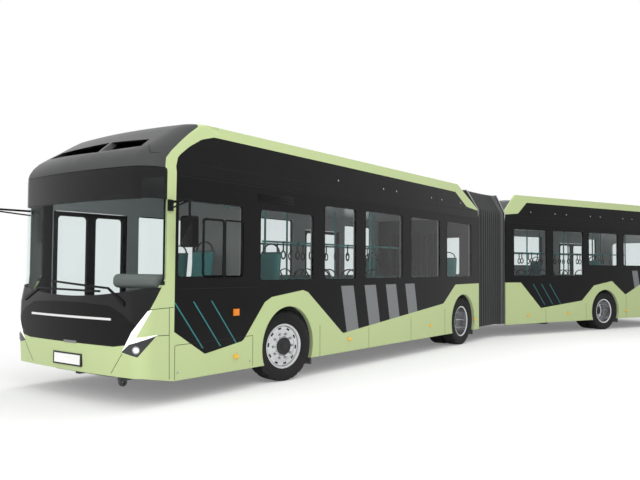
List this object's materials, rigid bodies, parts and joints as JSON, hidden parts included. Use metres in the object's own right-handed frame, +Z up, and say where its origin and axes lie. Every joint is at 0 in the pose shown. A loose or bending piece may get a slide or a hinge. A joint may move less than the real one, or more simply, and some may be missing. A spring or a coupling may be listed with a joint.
{
  "type": "articulated city bus",
  "caption": "Low-floor articulated bus: steered front car and hinged rear car joined by a pleated bellows, with inward-swinging double doors, seats, poles and roof fairings.",
  "frame": {"origin": "on the road under the middle of the whole standing bus", "axes": "+X towards the front car's nose, +Y to its left, +Z up"},
  "size_m": [18.0987, 5.622, 3.3],
  "materials": {
    "body_green": "gloss",
    "body_black": "gloss",
    "glass": "tinted",
    "lamp_lens": "clear",
    "tail_lens": "clear",
    "floor": "satin",
    "seat_fabric": "woven",
    "pole_paint": "gloss",
    "roof_grey": "satin",
    "chassis_black": "satin",
    "cab_grey": "grained",
    "bellows_fabric": "coated fabric",
    "tyre": "matt",
    "rim_alloy": "polished"
  },
  "bodies": {
    "front_car": {"front_underframe": "floor", "front_wall_left": "body_green", "front_wall_right": "body_green", "front_roof": "body_green", "front_dome": "body_black", "front_mask": "body_green", "front_panel": "body_black", "windscreen": "glass", "front_glass": "glass", "headlamps": "lamp_lens", "mirrors": "body_black", "wipers": "body_black", "driver_cab": "cab_grey", "front_seats": "seat_fabric", "front_rails": "pole_paint", "front_roof_packs": "roof_grey", "front_axle": "chassis_black", "drive_axle": "chassis_black", "joint_bolster": "chassis_black", "bellows": "bellows_fabric"},
    "rear_car": {"rear_underframe": "floor", "rear_wall_left": "body_green", "rear_wall_right": "body_green", "rear_roof": "body_green", "rear_mask": "body_green", "rear_glass": "glass", "tail_lamps": "tail_lens", "rear_seats": "seat_fabric", "rear_rails": "pole_paint", "rear_roof_packs": "roof_grey", "trailer_axle": "chassis_black", "joint_turntable": "chassis_black"},
    "knuckle_left": {"knuckle_left": "chassis_black"},
    "front_wheel_left": {"front_tyre_left": "tyre", "front_rim_left": "rim_alloy"},
    "drive_wheels_left": {"drive_tyres_left": "tyre", "drive_rims_left": "rim_alloy"},
    "trailer_wheels_left": {"trailer_tyres_left": "tyre", "trailer_rims_left": "rim_alloy"},
    "knuckle_right": {"knuckle_right": "chassis_black"},
    "front_wheel_right": {"front_tyre_right": "tyre", "front_rim_right": "rim_alloy"},
    "drive_wheels_right": {"drive_tyres_right": "tyre", "drive_rims_right": "rim_alloy"},
    "trailer_wheels_right": {"trailer_tyres_right": "tyre", "trailer_rims_right": "rim_alloy"},
    "front_door_a": {"front_door_a": "body_black", "front_door_glass_a": "glass"},
    "front_door_b": {"front_door_b": "body_black", "front_door_glass_b": "glass"},
    "middle_door_a": {"middle_door_a": "body_black", "middle_door_glass_a": "glass"},
    "middle_door_b": {"middle_door_b": "body_black", "middle_door_glass_b": "glass"},
    "rear_door_a": {"rear_door_a": "body_black", "rear_door_glass_a": "glass"},
    "rear_door_b": {"rear_door_b": "body_black", "rear_door_glass_b": "glass"}
  },
  "joints": [
    {"name": "articulation", "type": "hinge", "parent": "front_car", "child": "rear_car", "pos_m": [-1.69562, -1.07104, 0.29], "axis": [0, 0, 1], "range_deg": [-28.3, 71.7], "deforming": ["bellows"]},
    {"name": "steering_left", "type": "hinge", "parent": "front_car", "child": "knuckle_left", "pos_m": [6.15438, -0.03104, 0.479], "axis": [0, 0, 1], "range_deg": [-34.2, 55.8]},
    {"name": "front_wheel_spin_left", "type": "hinge", "parent": "knuckle_left", "child": "front_wheel_left", "pos_m": [6.16619, 0.03085, 0.479], "axis": [0.1874, 0.9823, 0], "continuous": true},
    {"name": "drive_wheel_spin_left", "type": "hinge", "parent": "front_car", "child": "drive_wheels_left", "pos_m": [0.50438, 0.03196, 0.479], "axis": [0, 1, 0], "continuous": true},
    {"name": "trailer_wheel_spin_left", "type": "hinge", "parent": "rear_car", "child": "trailer_wheels_left", "pos_m": [-5.07865, 1.46236, 0.479], "axis": [0.3697, 0.9291, 0], "continuous": true},
    {"name": "steering_right", "type": "hinge", "parent": "front_car", "child": "knuckle_right", "pos_m": [6.15438, -2.11104, 0.479], "axis": [0, 0, 1], "range_deg": [-34.2, 55.8]},
    {"name": "front_wheel_spin_right", "type": "hinge", "parent": "knuckle_right", "child": "front_wheel_right", "pos_m": [6.14258, -2.17292, 0.479], "axis": [0.1874, 0.9823, 0], "continuous": true},
    {"name": "drive_wheel_spin_right", "type": "hinge", "parent": "front_car", "child": "drive_wheels_right", "pos_m": [0.50438, -2.17404, 0.479], "axis": [0, 1, 0], "continuous": true},
    {"name": "trailer_wheel_spin_right", "type": "hinge", "parent": "rear_car", "child": "trailer_wheels_right", "pos_m": [-5.89431, -0.5873, 0.479], "axis": [0.3697, 0.9291, 0], "continuous": true},
    {"name": "front_door_hinge_a", "type": "hinge", "parent": "front_car", "child": "front_door_a", "pos_m": [8.15938, -2.32354, 0.345], "axis": [0, 0, -1], "range_deg": [0, 90]},
    {"name": "front_door_hinge_b", "type": "hinge", "parent": "front_car", "child": "front_door_b", "pos_m": [7.01938, -2.32354, 0.345], "axis": [0, 0, 1], "range_deg": [0, 90]},
    {"name": "middle_door_hinge_a", "type": "hinge", "parent": "front_car", "child": "middle_door_a", "pos_m": [2.57446, -2.32354, 0.345], "axis": [0, 0, -1], "range_deg": [0, 90]},
    {"name": "middle_door_hinge_b", "type": "hinge", "parent": "front_car", "child": "middle_door_b", "pos_m": [1.43446, -2.32354, 0.345], "axis": [0, 0, 1], "range_deg": [0, 90]},
    {"name": "rear_door_hinge_a", "type": "hinge", "parent": "rear_car", "child": "rear_door_a", "pos_m": [-7.20392, -0.22705, 0.345], "axis": [0, 0, -1], "range_deg": [0, 90]},
    {"name": "rear_door_hinge_b", "type": "hinge", "parent": "rear_car", "child": "rear_door_b", "pos_m": [-8.26313, 0.19446, 0.345], "axis": [0, 0, 1], "range_deg": [0, 90]}
  ],
  "couplings": [
    {"joint": "steering_right", "follows": "steering_left", "ratio": 1}
  ]
}
